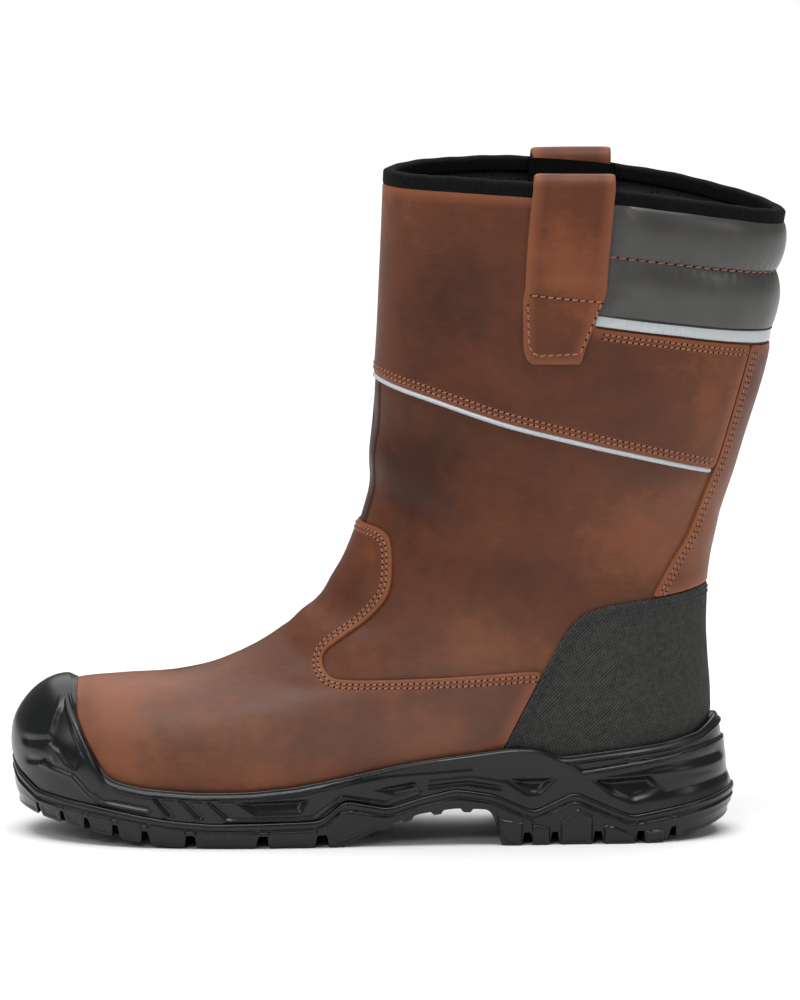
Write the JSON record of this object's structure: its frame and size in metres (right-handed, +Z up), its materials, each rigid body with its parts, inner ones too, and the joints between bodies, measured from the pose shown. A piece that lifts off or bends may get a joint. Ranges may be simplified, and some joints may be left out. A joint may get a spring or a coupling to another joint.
{
  "type": "safety boot",
  "caption": "Pull-on rigger safety boot for the left foot: hollow leather upper with padded collar and pull loops, moulded cup with toe scuff cap, and lugged rubber outsole.",
  "frame": {"origin": "centre of the bounding box in plan, on the floor under the tread", "axes": "toe towards -X, outer side of the foot towards -Y, +Z up"},
  "size_m": [0.3294, 0.1048, 0.289],
  "materials": {
    "leather": "oiled pull-up, low sheen",
    "abrasion_fabric": "coarse matt weave",
    "padding_cover": "soft coated, padded",
    "reflective_tape": "light, reflective",
    "binding_tape": "matt woven tape",
    "moulded_sole": "satin, moulded",
    "tread_rubber": "satin, lugged",
    "insole_felt": "matt felt"
  },
  "bodies": {
    "root": {"upper": "leather", "vamp": "leather", "shaft_panel": "leather", "back_strip": "leather", "pull_loop_outer": "leather", "pull_loop_inner": "leather", "heel_counter": "abrasion_fabric", "collar_pad": "padding_cover", "reflective_band": "reflective_tape", "reflective_piping": "reflective_tape", "collar_binding": "binding_tape", "midsole": "moulded_sole", "outsole": "tread_rubber", "insole": "insole_felt"}
  },
  "joints": []
}
